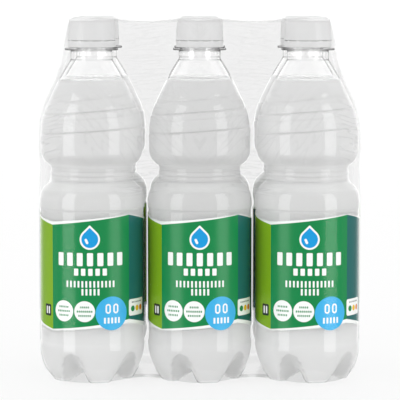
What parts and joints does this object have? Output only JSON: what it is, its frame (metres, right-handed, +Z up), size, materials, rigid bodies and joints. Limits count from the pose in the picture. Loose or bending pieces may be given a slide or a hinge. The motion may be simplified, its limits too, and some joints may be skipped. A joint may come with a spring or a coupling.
{
  "type": "shrink-wrapped six pack of drink bottles",
  "caption": "Shrink-wrapped pack of clear drink bottles in two rows, with white screw caps, wrap-round labels and a pale cloudy drink.",
  "frame": {"origin": "middle of the pack's underside, on the surface that it stands on", "axes": "+Z up along the bottles, X along the longer rows, the front row towards -Y"},
  "size_m": [0.1996, 0.1332, 0.2249],
  "materials": {
    "pet_clear": "clear blow-moulded PET",
    "drink": "cloudy pale grey liquid",
    "label_print": "printed plastic film, satin",
    "cap_plastic": "white moulded polyethylene",
    "film_clear": "clear shrink film"
  },
  "bodies": {
    "root": {"bottle_front_left": "pet_clear", "drink_front_left": "drink", "label_front_left": "label_print", "tamper_ring_front_left": "cap_plastic", "cap_front_left": "cap_plastic", "bottle_front_mid": "pet_clear", "drink_front_mid": "drink", "label_front_mid": "label_print", "tamper_ring_front_mid": "cap_plastic", "cap_front_mid": "cap_plastic", "bottle_front_right": "pet_clear", "drink_front_right": "drink", "label_front_right": "label_print", "tamper_ring_front_right": "cap_plastic", "cap_front_right": "cap_plastic", "bottle_back_left": "pet_clear", "drink_back_left": "drink", "label_back_left": "label_print", "tamper_ring_back_left": "cap_plastic", "cap_back_left": "cap_plastic", "bottle_back_mid": "pet_clear", "drink_back_mid": "drink", "label_back_mid": "label_print", "tamper_ring_back_mid": "cap_plastic", "cap_back_mid": "cap_plastic", "bottle_back_right": "pet_clear", "drink_back_right": "drink", "label_back_right": "label_print", "tamper_ring_back_right": "cap_plastic", "cap_back_right": "cap_plastic", "shrink_film": "film_clear"}
  },
  "joints": []
}
